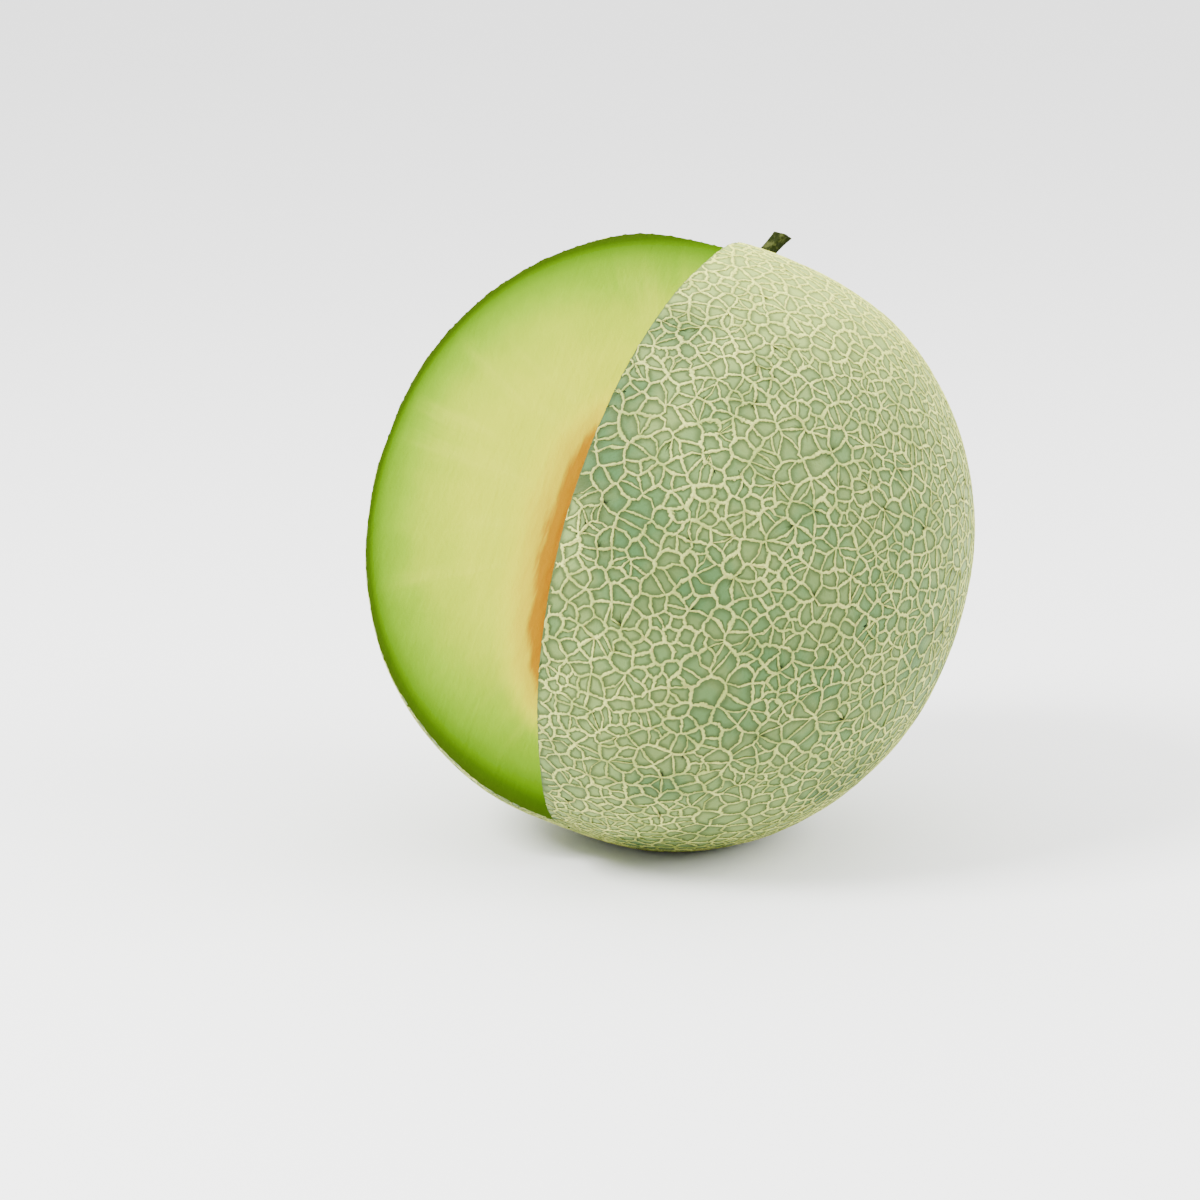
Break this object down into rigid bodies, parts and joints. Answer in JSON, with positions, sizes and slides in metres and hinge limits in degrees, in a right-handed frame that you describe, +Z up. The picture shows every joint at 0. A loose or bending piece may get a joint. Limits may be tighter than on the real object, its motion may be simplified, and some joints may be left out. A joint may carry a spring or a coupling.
{
  "type": "netted honeydew melon with a wedge cut out",
  "caption": "Whole green-fleshed netted melon lying tilted on a small flat spot, with one wedge cut out along its axis to show flesh and open seed cavity, and a short stem stub.",
  "frame": {"origin": "middle of the flat spot the fruit rests on", "axes": "+Z up, -Y towards the side the cut-out is seen from, +X to the right; the stem axis leans 28 degrees from +Z towards the direction midway between +X and +Y"},
  "size_m": [0.161, 0.161, 0.1601],
  "materials": {
    "melon": "netted sage-green rind with raised cream net; cut faces wet green to yellow flesh",
    "stem": "dull dark olive, ribbed, dry pale cut end"
  },
  "bodies": {
    "root": {"melon": "melon", "stem": "stem"}
  },
  "joints": []
}
